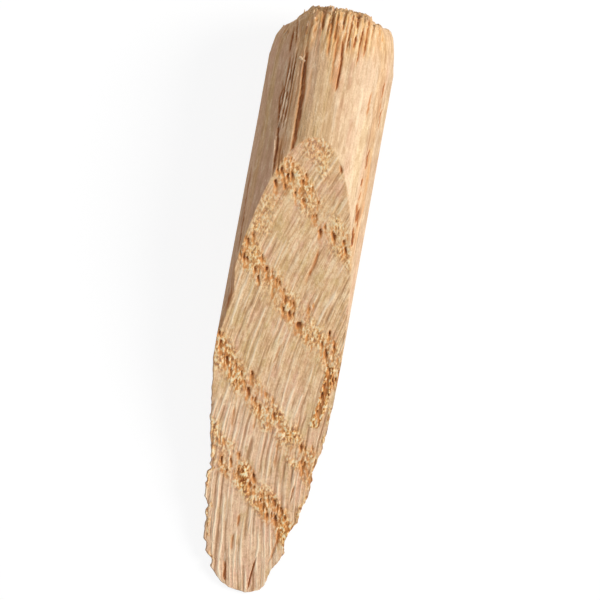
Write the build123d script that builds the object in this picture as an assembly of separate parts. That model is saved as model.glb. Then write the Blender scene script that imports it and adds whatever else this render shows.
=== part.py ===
"""Oak pocket hole plug.

A short oak dowel, sawn off at a long slope, that is glued into a slanted screw pocket and hides it.
The grain and the dowel's axis run along Y, with the blunt end at +Y and the thin tip at -Y.
The plug is built about the dowel's axis and then laid on its round back, with the sloping face up.
The origin is under the middle of the plug, on the surface it lies on. It is one piece of wood,
so it is one solid.
"""

import math
import os

from build123d import *

# Dowel and sloping face, in millimetres and degrees
dowel_diameter = 9.5
shank_length = 10.0  # the straight round part, with the bevel
face_setback = 0.1  # from the end of the shank to the top of the sloping face
face_angle = 15.0  # slope of the face to the grain, the angle of a screw pocket
tip_height = 0.2  # height of the face over the shank's underside where the thin tip broke off
tip_swell = 0.3  # how much wider than the shank the dowel has grown by the tip

# Blunt end: a rough bevel that steepens at a knee, then a shoulder round a torn core
bevel_length = 4.4
knee_depth = 2.3  # from the end of the plug to the knee
knee_radius = 4.3
knee_offset = 0.05
knee_lift = 0.15  # the torn end sits nearer the top of the dowel than its underside
shoulder_depth = 1.0  # from the end of the plug to the shoulder
shoulder_radius = 3.43
shoulder_offset = 0.44
shoulder_lift = 0.6
core_root = 0.5  # how far the core's cone reaches down inside the shoulder
core_base_radius = 2.95
core_base_offset = 0.15
core_end_radius = 2.35
core_end_offset = 0.05
core_lift = 0.6

# Torn fibre plates that make up the core, from left to right: right edge across the core,
# then how far the plate's left and right corners stand up, as shares of the shoulder depth
core_plates = [
    (-2.30, 0.05, 0.62),
    (-1.10, 0.64, 0.76),
    (-0.85, 0.50, 0.46),
    (0.05, 1.00, 0.88),
    (0.85, 0.82, 0.80),
    (1.10, 0.50, 0.56),
    (2.25, 0.80, 0.74),
    (2.60, 0.55, 0.36),
    (3.10, 0.32, 0.10),
]
# Each plate broke in layers: share of its height that is left, from the top layer down
core_layers = [1.0, 0.55, 0.85, 0.35, 0.7]

# Growth rings: height of each ring's porous early wood at the middle of the plug
ring_levels = [9.25, 8.29, 6.11, 3.88, 2.28, 0.6]
ring_tilt = 0.245  # fall of every ring towards +X
early_wood_depth = 0.62

# Vessels: the pores of the early wood, which run along the grain
vessel_radius = 0.13
vessel_sides = 6
vessel_spacing = 0.5  # across the sloping face
vessel_reach = 1.1  # how far a pore runs on into the wood past its mouth

# Splits along the grain are kite-shaped slots
split_belly = 0.4  # share of a split's length at which it is widest
split_depth = 0.22
split_proud = 0.3  # how far a split's cutter starts outside the wood
flank_split_length = 6.5
flank_split_width = 0.2
flank_split_step = 0.4  # round the dowel, from one split to the next
flank_splits = 6  # side by side at each place where a ring comes out through the flank

# Larger splits in the skin: place across, then both ends as distances from the blunt end, width
skin_splits = [
    (-1.80, 3.0, 11.4, 0.34),
    (-3.15, 2.0, 9.4, 0.26),
    (-2.85, 1.3, 4.8, 0.24),
    (-2.80, 10.0, 13.8, 0.40),
    (-1.24, 1.3, 3.4, 0.40),
    (-0.43, 1.4, 4.0, 0.22),
    (0.60, 2.4, 7.0, 0.30),
    (0.98, 1.3, 3.5, 0.28),
    (1.87, 1.4, 4.0, 0.20),
    (2.28, 1.3, 3.4, 0.26),
]
# Splits in the sloping face: place across and distance from the tip, at each end, then width
face_splits = [
    (1.66, 26.6, 1.08, 21.5, 0.16),
    (4.04, 18.1, 3.75, 13.8, 0.32),
    (-4.3, 25.2, -4.75, 19.2, 0.5),
    (-1.29, 2.1, -0.84, 0.4, 0.18),
    (1.18, 2.9, 0.89, -0.6, 0.20),
    (2.45, 5.1, 2.12, 2.4, 0.30),
    (2.97, 8.8, 2.87, 7.0, 0.20),
]

# Chips out of the thin edge beside the face: distance from the tip, then how far the edge has
# broken back from its full width
left_chips = [
    (18.4, 0.0),
    (15.4, 0.25),
    (14.4, 0.3),
    (13.4, 0.45),
    (12.7, 0.4),
    (12.4, 0.5),
    (10.4, 0.7),
    (8.8, 0.8),
    (8.5, 0.55),
    (6.4, 0.45),
    (6.0, 0.6),
    (5.6, 0.4),
    (5.2, 0.45),
    (3.4, 0.2),
    (3.2, 0.4),
    (2.9, 0.4),
    (2.6, 0.2),
    (2.1, 0.55),
    (1.8, 0.6),
    (1.5, 0.4),
    (0.5, 0.75),
]
right_chips = [
    (13.4, 0.0),
    (11.4, 0.05),
    (10.4, 0.25),
    (9.9, 0.3),
    (9.4, 0.1),
    (7.9, 0.05),
    (6.9, 0.2),
    (5.9, 0.1),
    (5.5, 0.3),
    (4.9, 0.45),
    (4.2, 0.4),
    (3.5, 0.1),
    (2.4, 0.25),
    (1.8, 0.35),
    (1.2, 0.2),
    (0.6, 0.0),
]
tip_left = -0.05  # ends of the blunt line at the very tip
tip_right = 0.85

# Worked out from the sizes above
radius = dowel_diameter / 2
tip_radius = radius + tip_swell / 2
face_slope = math.tan(math.radians(face_angle))
face_run = (dowel_diameter - tip_height) / face_slope
overall_length = shank_length + face_setback + face_run
blunt_y = overall_length / 2
tip_y = -overall_length / 2
bevel_y = blunt_y - bevel_length
knee_y = blunt_y - knee_depth
shoulder_y = blunt_y - shoulder_depth
shank_y = blunt_y - shank_length
face_top_y = shank_y - face_setback
golden_share = (math.sqrt(5) - 1) / 2  # spreads repeats without a visible pattern
outside = 2.0  # how far cutters run past the wood


def skin_radius(y):
    """Distance from the dowel's axis to its skin at a place along it."""
    stations = [
        (tip_y, tip_radius),
        (shank_y, radius),
        (bevel_y, radius),
        (knee_y, knee_radius),
        (shoulder_y, shoulder_radius),
        (blunt_y, core_end_radius),
    ]
    for (near_y, near_radius), (far_y, far_radius) in zip(stations, stations[1:]):
        if y <= far_y:
            break
    return near_radius + (far_radius - near_radius) * (y - near_y) / (far_y - near_y)


def skin_lift(y):
    """How far the middle of the bevel's section is above the dowel's axis."""
    if y <= bevel_y:
        return 0.0
    if y <= knee_y:
        return knee_lift * (y - bevel_y) / (knee_y - bevel_y)
    return knee_lift + (shoulder_lift - knee_lift) * (y - knee_y) / (blunt_y - knee_y)


def face_height(y):
    """Height of the sloping face."""
    return dowel_diameter - (face_top_y - y) * face_slope


def face_y(z):
    """Where along the plug the sloping face is at a height."""
    return face_top_y - (dowel_diameter - z) / face_slope


def half_chord(y):
    """Half the width of the sloping face at a place along the plug."""
    return math.sqrt(max(skin_radius(y) ** 2 - (face_height(y) - radius) ** 2, 0.0))


def disc(y, disc_radius, offset=0.0, lift=0.0):
    """A round section across the grain."""
    plane = Plane(origin=(offset, y, radius + lift), x_dir=(1, 0, 0), z_dir=(0, 1, 0))
    return plane * Circle(disc_radius)


def dowel():
    """The round bar: the straight shank, and the rest, which swells to the tip."""
    shank = extrude(disc(shank_y, radius), amount=bevel_y - shank_y)
    rest = loft([disc(tip_y, tip_radius), disc(shank_y, radius)], ruled=True)
    return shank + rest


def bevel():
    """The rough bevel from the full dowel to the shoulder."""
    sections = [
        disc(bevel_y, radius),
        disc(knee_y, knee_radius, knee_offset, knee_lift),
        disc(shoulder_y, shoulder_radius, shoulder_offset, shoulder_lift),
    ]
    return loft(sections, ruled=True)


def core():
    """The torn core: fibre plates of uneven height inside a short cone."""
    envelope = loft(
        [
            disc(shoulder_y - core_root, core_base_radius, core_base_offset, core_lift),
            disc(blunt_y, core_end_radius, core_end_offset, core_lift),
        ],
        ruled=True,
    )
    layer_height = 2 * core_base_radius / len(core_layers)
    layer_top = radius + core_lift + core_base_radius
    root_y = shoulder_y - core_root - outside
    blocks = []
    for layer, share in enumerate(core_layers):
        left = core_base_offset - core_base_radius
        for number, (right, rise_left, rise_right) in enumerate(core_plates):
            # below the top layer the break wanders, so neighbours change places
            wander = 1.0 if layer == 0 else 0.7 + 0.6 * ((number * 3 + layer) * golden_share % 1)
            kept = min(share * wander, 1.0) * shoulder_depth
            corners = [
                (left, root_y),
                (right, root_y),
                (right, shoulder_y + rise_right * kept),
                (left, shoulder_y + rise_left * kept),
            ]
            outline = Plane.XY.offset(layer_top - layer_height * layer) * Polygon(*corners, align=None)
            blocks.append(extrude(outline, amount=-layer_height))
            left = right
    plates = blocks[0].fuse(*blocks[1:])
    return envelope & plates


def above_face():
    """The wood that the slanting saw cut takes away."""
    run = overall_length + outside
    side = [
        (face_top_y, dowel_diameter),
        (face_top_y, dowel_diameter + outside),
        (face_top_y - run, dowel_diameter + outside),
        (face_top_y - run, dowel_diameter - run * face_slope),
    ]
    profile = Plane.YZ * Polygon(*side, align=None)
    return extrude(profile, amount=dowel_diameter, both=True)


def broken_outline():
    """The plug's outline from above, with the thin edge broken back in chips."""

    def edge(chips, side):
        return [(side * (half_chord(tip_y + reach) - inset), tip_y + reach) for reach, inset in chips]

    left = edge(left_chips, -1)
    right = edge(right_chips, 1)
    wide = tip_radius + outside
    points = [(-wide, blunt_y + outside), (-wide, left[0][1]), *left]
    points += [(tip_left, tip_y), (tip_right, tip_y)]
    points += [*reversed(right), (wide, right[0][1]), (wide, blunt_y + outside)]
    outline = Plane.XY.offset(-outside) * Polygon(*points, align=None)
    return extrude(outline, amount=dowel_diameter + 2 * outside)


def split(start, end, width, outward):
    """A slot with pointed ends between two points on the surface."""
    out = Vector(*outward).normalized()
    along = Vector(*end) - Vector(*start)
    belly = split_belly * along.length
    plane = Plane(origin=Vector(*start) + out * split_proud, x_dir=along, z_dir=out)
    kite = Polygon((0, 0), (belly, -width / 2), (along.length, 0), (belly, width / 2), align=None)
    return extrude(plane * kite, amount=-(split_depth + split_proud))


def skin_split(turn, far_y, near_y, width):
    """A split in the dowel's skin, at an angle round the dowel from its top."""
    across, up = math.sin(turn), math.cos(turn)
    far, near = skin_radius(far_y) + skin_lift(far_y) * up, skin_radius(near_y) + skin_lift(near_y) * up
    start = (far * across, far_y, radius + far * up)
    end = (near * across, near_y, radius + near * up)
    lean = (near - far) / (far_y - near_y)
    return split(start, end, width, (across, lean, up))


def skin_cutters():
    """The larger splits near the blunt end."""
    cutters = []
    for x, far_depth, near_depth, width in skin_splits:
        turn = math.asin(x / radius)
        cutters.append(skin_split(turn, blunt_y - far_depth, blunt_y - near_depth, width))
    return cutters


def face_cutters():
    """The splits and cracks in the sloping face."""
    cutters = []
    for far_x, far_reach, near_x, near_reach, width in face_splits:
        far_y, near_y = tip_y + far_reach, tip_y + near_reach
        start = (far_x, far_y, face_height(far_y))
        end = (near_x, near_y, face_height(near_y))
        cutters.append(split(start, end, width, (0, -face_slope, 1)))
    return cutters


def ring_height(level, x):
    """Height of a growth ring at a place across."""
    return level - ring_tilt * x


def pore_cutters():
    """The rows of pores where each ring's early wood meets the sloping face."""
    cutters = []
    for ring, level in enumerate(ring_levels):
        count = math.floor(2 * half_chord(face_y(level)) / vessel_spacing)
        for number in range(count):
            wander = (number * golden_share + ring * 0.37) % 1 - 0.5
            x = (number + 0.5 - count / 2) * vessel_spacing + 0.3 * vessel_spacing * wander
            z = ring_height(level, x) + early_wood_depth * wander
            mouth_y = face_y(z)
            room = half_chord(mouth_y) - abs(x)
            if room < 3 * vessel_radius or mouth_y < tip_y + 4 * vessel_reach:
                continue
            bore_radius = vessel_radius * (0.8 + 0.5 * ((number * 2 + ring) * golden_share % 1))
            mouth = bore_radius / face_slope
            plane = Plane(origin=(x, mouth_y - mouth, z), x_dir=(1, 0, 0), z_dir=(0, 1, 0))
            bore = plane * RegularPolygon(bore_radius, vessel_sides)
            cutters.append(extrude(bore, amount=mouth + vessel_reach))
    return cutters


def ring_exits(level):
    """The two places across where a growth ring comes out through the dowel's skin."""
    rise = level - radius
    spread = (1 + ring_tilt**2) * radius**2 - rise**2
    if spread <= 0:
        return []
    root = math.sqrt(spread)
    return [(ring_tilt * rise + side * root) / (1 + ring_tilt**2) for side in (-1, 1)]


def flank_cutters():
    """The vessels that lie open along the flanks where each ring comes out."""
    cutters = []
    for ring, level in enumerate(ring_levels):
        for side, x in enumerate(ring_exits(level)):
            middle = math.atan2(x, ring_height(level, x) - radius)
            for number in range(flank_splits):
                turn = middle + (number - (flank_splits - 1) / 2) * flank_split_step / radius
                place = (number * golden_share + ring * 0.41 + side * 0.23) % 1
                width = flank_split_width * (0.7 + 0.6 * place)
                length = flank_split_length * (0.5 + place)
                low_y = max(tip_y, face_y(radius + radius * math.cos(turn))) + outside
                room = shank_y - low_y - length
                if room < 0:
                    continue
                start = low_y + room * ((number * 0.43 + ring * 0.29 + side * 0.5) % 1)
                cutters.append(skin_split(turn, start + length, start, width))
    return cutters


def laid_down(body):
    """The plug as it lies, resting on the bottom of its shank and of its wider tip."""
    settle = math.atan2(tip_radius - radius, bevel_y - tip_y)
    return Pos(Z=bevel_y * math.sin(settle)) * Rot(X=-math.degrees(settle)) * body


def plug():
    """The whole plug as one solid."""
    body = dowel() + bevel() + core()
    body = body - above_face()
    body = body & broken_outline()
    body = body - [*skin_cutters(), *face_cutters(), *pore_cutters(), *flank_cutters()]
    return laid_down(body)


if __name__ == "__main__":
    os.makedirs("parts", exist_ok=True)
    export_step(plug(), "parts/plug.step")
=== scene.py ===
"""Oak pocket hole plug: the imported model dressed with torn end, open grain, saw marks and chipped edge."""

import math

import bpy
import numpy as np
from mathutils import Matrix, Vector


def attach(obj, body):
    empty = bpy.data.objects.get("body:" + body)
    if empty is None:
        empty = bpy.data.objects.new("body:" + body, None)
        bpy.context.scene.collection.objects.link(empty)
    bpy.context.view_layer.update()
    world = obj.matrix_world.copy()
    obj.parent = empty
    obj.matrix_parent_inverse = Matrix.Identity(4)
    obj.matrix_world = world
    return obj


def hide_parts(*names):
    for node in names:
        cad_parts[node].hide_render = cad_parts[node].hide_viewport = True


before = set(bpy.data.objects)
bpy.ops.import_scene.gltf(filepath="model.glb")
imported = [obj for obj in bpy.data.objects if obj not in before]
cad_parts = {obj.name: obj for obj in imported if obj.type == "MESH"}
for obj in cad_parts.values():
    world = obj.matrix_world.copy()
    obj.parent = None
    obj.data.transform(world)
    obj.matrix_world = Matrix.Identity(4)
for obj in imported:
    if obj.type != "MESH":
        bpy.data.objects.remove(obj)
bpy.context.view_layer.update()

# ---------------------------------------------------------------- sizes, in millimetres
# The plug's own axes: the dowel's axis runs along Y at height RADIUS, blunt end at +Y, face up
RADIUS = 4.75
TIP_RADIUS = 4.9
SLOPE = math.tan(math.radians(15))
LENGTH = 10.1 + (2 * RADIUS - 0.2) / SLOPE
BLUNT, TIP = LENGTH / 2, -LENGTH / 2
BEVEL, SHANK = BLUNT - 4.4, BLUNT - 10.0
FACE_TOP = SHANK - 0.1
SHOULDER = BLUNT - 1.0
RING_TILT = 0.245
RINGS = [9.25, 8.29, 6.11, 3.88, 2.28]  # heights of the growth rings at the middle
BAND = 0.33  # half the thickness of a ring's porous early wood
PORE_SIZES = [0.6, 1, 1.05, 1.15, 1.2]  # how large each ring's small vessels are beside the second one's
SAW_X, SAW_Y = 51, -12  # middle of the arcs that the saw's blade left on the face
SAW_REACH = 50  # from there to the plug, about
NOWHERE = -9  # a place across the plug that nothing reaches

# Broken-back thin edge: distance from the tip, how far back from the full width
LEFT_CHIPS = [
    (0.0, 0.9), (0.5, 0.75), (1.5, 0.42), (1.8, 0.6), (2.1, 0.55), (2.6, 0.2), (2.9, 0.4), (3.2, 0.4),
    (3.4, 0.2), (5.2, 0.45), (5.6, 0.4), (6.0, 0.6), (6.4, 0.45), (8.5, 0.55), (8.8, 0.8), (10.4, 0.7),
    (12.4, 0.5), (12.7, 0.4), (13.4, 0.45), (14.4, 0.3), (15.4, 0.25), (17.0, 0.04), (19.0, 0.0),
]
RIGHT_CHIPS = [
    (0.0, 0.4), (0.6, 0.05), (1.2, 0.2), (1.8, 0.35), (2.4, 0.25), (3.5, 0.1), (4.2, 0.4), (4.9, 0.45),
    (5.5, 0.3), (5.9, 0.1), (6.9, 0.2), (7.9, 0.05), (9.4, 0.1), (9.9, 0.3), (10.4, 0.25), (11.4, 0.05),
    (13.4, 0.03), (17.0, 0.03), (19.0, 0.0),
]
# Outline of the rounded tip: distance from the tip, place across
TIP_ROUNDING = 1.3  # how far the rounding goes along the plug
LEFT_TIP = [(0, 0.1), (0.1, -0.35), (0.35, -0.9), (0.8, -1.5), (1.3, -1.9)]
RIGHT_TIP = [(0, 1.0), (0.12, 1.4), (0.3, 1.85), (0.7, 2.08), (1.3, 2.0)]
# Worn strip inside the face's right edge: place along, place across
WORN_EDGE = [(-9.2, 3.6), (-7.8, 3.9), (-6.0, 4.08), (-4.4, 4.05)]
# Profiles of the blunt end on each side: radius, place along, for an end at PROFILE_END
PROFILE_END = 22.4
RIGHT_END = [
    (4.75, 18.0), (4.65, 18.55), (4.54, 19.35), (4.4, 20.05), (4.22, 20.8), (3.92, 21.26), (3.36, 21.32),
    (3.14, 21.56), (2.7, 21.68), (2.4, 21.98), (2.26, 22.16), (0.0, 22.2),
]
LEFT_END = [
    (4.75, 17.95), (4.66, 18.6), (4.48, 19.45), (4.2, 19.97), (4.12, 20.12), (3.74, 20.2), (3.44, 20.42),
    (3.14, 21.02), (2.84, 21.25), (2.62, 21.45), (2.3, 22.02), (0.0, 22.12),
]
TOP_END = [
    (4.75, 18.1), (4.66, 18.9), (4.56, 19.7), (4.42, 20.4), (4.25, 21.0), (4.02, 21.5), (3.8, 21.75),
    (3.5, 21.95), (3.2, 22.05), (2.9, 22.12), (2.5, 22.18), (0.0, 22.2),
]
UNDER_END = [
    (4.75, 18.0), (4.62, 18.5), (4.45, 19.1), (4.3, 19.7), (4.15, 20.1), (3.6, 20.8), (3.0, 21.35),
    (2.8, 21.45), (2.5, 21.65), (2.2, 21.9), (1.7, 22.15), (0.0, 22.2),
]
# Where a strip of the left edge broke away: place along, how far across the face reaches there
EDGE_BREAK = [
    (-3.2, -4.9), (-2.9, -4.55), (-1.9, -4.45), (-0.7, -4.24), (-0.2, -4.18), (0.6, -4.25), (1.5, -4.4),
    (2.4, -4.45), (2.6, -4.8),
]


def skin_radius(y):
    """Radius of the dowel's skin at a place along it."""
    return np.interp(y, [TIP, SHANK], [TIP_RADIUS, RADIUS])


def face_height(y):
    """Height of the sawn face at a place along it."""
    return 2 * RADIUS - (FACE_TOP - y) * SLOPE


def face_y(z):
    """Place along the plug where the sawn face is at a height."""
    return FACE_TOP - (2 * RADIUS - z) / SLOPE


def look_up(table, value, **outside):
    """The second column of a table at a value of its first."""
    return np.interp(value, *zip(*table), **outside)


# ---------------------------------------------------------------- fields of noise
# Multipliers and the 32-bit mask of the hash under every random number
HASH = (374761393, 668265263, 2246822519)
HASH_MIX = 1274126177
LOW_BITS = 0xFFFFFFFF


def scatter(seed, *cell):
    """A fixed random number from 0 to 1 for each whole-number cell."""
    h = np.int64(seed) * HASH_MIX
    for c, k in zip(cell, HASH):
        h = (h + np.asarray(c).astype(np.int64) * k) & LOW_BITS
        h = ((h ^ (h >> 13)) * HASH_MIX) & LOW_BITS
    h = ((h ^ (h >> 16)) * HASH[2]) & LOW_BITS
    return ((h ^ (h >> 15)) & LOW_BITS) / LOW_BITS


def noise(seed, *where):
    """Smooth value noise from -1 to 1 in as many directions as are given."""
    cells = [np.floor(w) for w in where]
    parts = [w - c for w, c in zip(where, cells)]
    parts = [p * p * (3 - 2 * p) for p in parts]
    total = 0
    for corner in range(2 ** len(where)):
        weight = 1
        at = []
        for i, (c, p) in enumerate(zip(cells, parts)):
            bit = corner >> i & 1
            at.append(c + bit)
            weight = weight * (p if bit else 1 - p)
        total = total + weight * scatter(seed, *at)
    return total * 2 - 1


def smooth(low, high, value):
    """A soft step from 0 at low to 1 at high; low may be the larger of the two."""
    t = np.clip((value - low) / (high - low), 0, 1)
    return t * t * (3 - 2 * t)


# ---------------------------------------------------------------- the plug's surface as closed rings
TOP, WALL, UNDER = 204, 3, 41  # points of a ring on top, on each side wall and underneath
END_ROWS = 60  # rings of the blunt end, from the bevel's foot to the middle of the torn end
# Places of the other rings along the plug, from the tip to the bevel's foot
ALONG = np.concatenate([
    np.linspace(TIP, TIP + 1.6, 20, endpoint=False),
    np.linspace(TIP + 1.6, SHANK + 0.2, 266, endpoint=False),
    np.linspace(SHANK + 0.2, BEVEL, 26),
])[:, None]
TOP_TURN = 88  # degrees round the dowel that the top reaches, counted from straight up
WALL_TURN = 96  # and a side wall, where the face is above the dowel's axis
TOP_REACH = math.sin(math.radians(TOP_TURN))


def top_edges(r, h):
    """Left and right edge of the top in every row, and how far the left side wall leans out."""
    reach = ALONG - TIP
    chord = np.sqrt(np.maximum(r**2 - (h - RADIUS) ** 2, 0.0004))
    half = np.where(h > RADIUS, r * TOP_REACH, chord)
    rough = smooth(18, 12, reach)
    lean = 0.09 * smooth(-4.0, -6.0, ALONG)
    crumbs_l = 0.07 * noise(3, ALONG * 3.1) + 0.05 * noise(4, ALONG * 7.3) + 0.06
    crumbs_r = 0.05 * noise(5, ALONG * 2.9) + 0.04 * noise(6, ALONG * 6.7) + 0.04
    left = -(half - (look_up(LEFT_CHIPS, reach) + rough * crumbs_l + lean))
    right = half - (look_up(RIGHT_CHIPS, reach) + rough * crumbs_r)
    tip = smooth(TIP_ROUNDING, 0, reach)
    left = left * (1 - tip) + tip * look_up(LEFT_TIP, reach)
    right = right * (1 - tip) + tip * look_up(RIGHT_TIP, reach)
    return left, right, lean


def end_rows(x, z):
    """The blunt end's rows: each column shrinks from its place in the last row along the end's profile."""
    size = np.hypot(x, z - RADIUS)
    out_x, out_z = x / size, (z - RADIUS) / size
    side = (out_x + 1) / 2
    up, below = np.clip(out_z, 0, 1) ** 1.5, np.clip(-out_z, 0, 1) ** 1.5
    level = 1 - up - below
    ends = np.array([LEFT_END, RIGHT_END, TOP_END, UNDER_END])
    gone = np.linalg.norm(np.diff(ends.sum(0), axis=0), axis=1).cumsum()
    steps = range(len(LEFT_END))
    rows = []
    for far in np.linspace(0, gone[-1], END_ROWS + 1)[1:]:
        at = np.interp(far, [0, *gone], steps)
        (rl, rr, rt, ru), (yl, yr, yt, yu) = ([np.interp(at, steps, e[:, i]) for e in ends] for i in (0, 1))
        r = np.maximum((rl + (rr - rl) * side) * level + rt * up + ru * below, 0.02)
        y = (yl + (yr - yl) * side) * level + yt * up + yu * below
        rows.append((out_x * r, y + (BLUNT - PROFILE_END), RADIUS + out_z * r))
    return [np.array(part) for part in zip(*rows)]


def ring_grid():
    """Base positions in rows along the plug; each row is a loop: top, right wall, under, left wall."""
    r, h = skin_radius(ALONG), face_height(ALONG)
    left, right, lean = top_edges(r, h)
    turn = np.radians(np.linspace(-TOP_TURN, TOP_TURN, TOP))
    x_top = left + (right - left) * (np.sin(turn) / TOP_REACH + 1) / 2
    z_top = RADIUS + np.sqrt(np.maximum(r**2 - x_top**2, 0))
    z_top = np.where(h > RADIUS, np.minimum(z_top, h), h)
    face = (h <= z_top + 1e-6) & (ALONG < FACE_TOP)
    # where a strip of the left edge broke away, the top drops below the plane of the face
    off = look_up(EDGE_BREAK, ALONG, left=NOWHERE, right=NOWHERE) + 0.03 * noise(7, ALONG * 4) - x_top
    z_top = z_top - np.where(off > 0, np.minimum(0.1 + 1.6 * off, 0.6), 0)
    face &= off <= 0

    def wall_end(x):
        """How far round the dowel, from its top, a side wall meets the skin."""
        corner = math.pi - np.arcsin(np.clip(np.abs(x) / r, 0, 1))
        return np.where(h > RADIUS, math.radians(WALL_TURN), corner)

    end_r, end_l = wall_end(right), wall_end(left - lean)
    k = (np.arange(WALL) + 1) / WALL
    low_rx, low_rz = r * np.sin(end_r), RADIUS + r * np.cos(end_r)
    low_lx, low_lz = -r * np.sin(end_l), RADIUS + r * np.cos(end_l)
    wall_rx = x_top[:, -1:] + (low_rx - x_top[:, -1:]) * k
    wall_rz = z_top[:, -1:] + (low_rz - z_top[:, -1:]) * k
    wall_lx = low_lx + (x_top[:, :1] - low_lx) * (k - 1 / WALL)
    wall_lz = low_lz + (z_top[:, :1] - low_lz) * (k - 1 / WALL)
    bend = end_r + (2 * math.pi - end_l - end_r) * (np.arange(UNDER) + 1) / (UNDER + 1)
    x = np.hstack([x_top, wall_rx, r * np.sin(bend), wall_lx])
    z = np.hstack([z_top, wall_rz, RADIUS + r * np.cos(bend), wall_lz])
    y = np.repeat(ALONG, x.shape[1], axis=1)
    x, y, z = (np.vstack(pair) for pair in zip((x, y, z), end_rows(x[-1], z[-1])))
    on_face = np.zeros(x.shape, bool)
    on_face[:len(ALONG), :TOP] = face
    return x, y, z, on_face


def normals(x, y, z):
    """Outward direction at every point of the rings."""
    p = np.stack([x, y, z], -1)
    down = np.gradient(p, axis=0)
    wrapped = np.concatenate([p[:, -1:], p, p[:, :1]], 1)
    across = (wrapped[:, 2:] - wrapped[:, :-2]) / 2
    n = np.cross(across, down)
    return n / np.maximum(np.linalg.norm(n, axis=2, keepdims=True), 1e-9)


# ---------------------------------------------------------------- vessels of the early wood
SMALL_VESSELS = 84  # places for them across the plug, in each ring
LARGE_VESSELS = [  # the largest ones, by where each comes out of the face: across, along, radius
    (-1.92, 1.7, 0.13), (-2.87, 1.45, 0.11), (-2.47, 0.95, 0.1), (-3.84, 2.3, 0.12), (-2.55, 2.7, 0.13),
    (1.65, -0.5, 0.12), (2.05, -0.3, 0.09), (1.27, -1.85, 0.12), (3.48, -3.5, 0.14), (2.6, 4.95, 0.14),
    (1.42, 5.5, 0.12), (0.67, 6.5, 0.12), (0.86, 7.25, 0.08), (-0.4, 8.55, 0.13), (-2.45, 8.4, 0.13),
    (0.0, 7.5, 0.11), (-0.8, 7.9, 0.11), (-1.72, 8.15, 0.1), (-1.45, 8.95, 0.11), (-1.95, 8.9, 0.1),
    (-2.2, 9.35, 0.1), (-1.4, 9.65, 0.09), (-0.4, 9.5, 0.1), (0.56, 11.55, 0.09), (-1.68, -7.4, 0.15),
    (-0.76, -8.2, 0.13), (-2.35, -6.5, 0.13), (-2.85, -6.1, 0.11), (-1.25, -14.1, 0.16),
    (-2.75, -13.0, 0.14), (1.0, -16.0, 0.13), (2.0, -16.45, 0.14), (2.42, -17.7, 0.13),
    (0.05, -14.5, 0.11), (-1.6, -12.6, 0.1), (3.2, -12.4, 0.12), (3.55, -12.3, 0.11), (1.3, -10.0, 0.11),
    (0.5, -8.7, 0.12), (0.18, -8.75, 0.1), (3.93, -2.85, 0.12), (-3.7, -5.5, 0.13), (1.85, -15.6, 0.12),
    (-4.1, 2.6, 0.1), (-3.8, 3.7, 0.12), (-3.4, 3.9, 0.1), (3.6, -2.1, 0.11), (3.1, -3.1, 0.11),
    (2.45, 5.6, 0.1), (3.4, 4.7, 0.11), (3.55, 4.2, 0.1), (-0.35, 0.45, 0.11), (-0.1, -0.6, 0.12),
    (0.7, -1.5, 0.1), (3.95, -5.5, 0.12), (4.0, -6.3, 0.11), (3.95, -7.0, 0.12), (3.85, -7.6, 0.1),
    (3.75, -8.3, 0.12),
]


def vessels():
    """Bores along the grain: place across, height, place along where each opens, radius."""
    made = []
    for ring, (level, pore_size) in enumerate(zip(RINGS, PORE_SIZES)):
        for n in range(SMALL_VESSELS):
            a, b, c, d = (scatter(11 + ring, n, i) for i in range(4))
            x = -5.0 + 10.0 * (n + 0.9 * a) / SMALL_VESSELS
            z = level - RING_TILT * x + BAND * (2 * b - 1) * (0.55 + 0.45 * c)
            crowded = 0.62 + 0.55 * float(noise(900 + ring, np.float64(x * 0.9)))
            if ring == 1 and x > 0.5:
                crowded *= 0.5
            if ring == 0 and x > 0.9 or scatter(31 + ring, n) > crowded:
                continue
            made.append((x, z, face_y(z), (0.045 + 0.055 * d * d + 0.02 * c) * pore_size))
    return made + [(x, face_height(y), y, size) for x, y, size in LARGE_VESSELS]


def bore_out(x, y, z, n):
    """How deep each point sinks into a vessel, along its normal, and how near it is to one."""
    depth, halo = np.zeros_like(x), np.zeros_like(x)
    level = np.hypot(n[..., 0], n[..., 2])
    nx, nz = n[..., 0] / np.maximum(level, 1e-6), n[..., 2] / np.maximum(level, 1e-6)
    end_grain = level < 0.75
    for i, (cx, cz, mouth, size) in enumerate(vessels()):
        near = (np.abs(x - cx) < size + 0.45) & (np.abs(z - cz) < size + 0.35)
        if not near.any():
            continue
        ys = y[near]
        lean = 0.16 * np.clip(mouth - ys, -1.5, 1.5)
        qx = x[near] - cx - lean - 0.10 * noise(40 + i, ys * 0.35) - 0.035 * noise(400 + i, ys * 3.2)
        qz = z[near] - cz - 0.10 * noise(840 + i, ys * 0.22)
        qn = qx * nx[near] + qz * nz[near]
        r = size * (0.95 + 0.2 * noise(1240 + i, ys * 1.7) + 0.14 * noise(1640 + i, ys * 5))
        off = qx**2 + qz**2
        sunk = np.where(off < r**2, qn + np.sqrt(np.maximum(qn**2 - (off - r**2), 0)), 0)
        sunk = np.where(end_grain[near] & (off < r**2), 0.2, sunk)
        depth[near] = np.maximum(depth[near], sunk)
        halo[near] = np.maximum(halo[near], smooth(2.1, 1.0, np.sqrt(off) / r))
    return depth, halo


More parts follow.
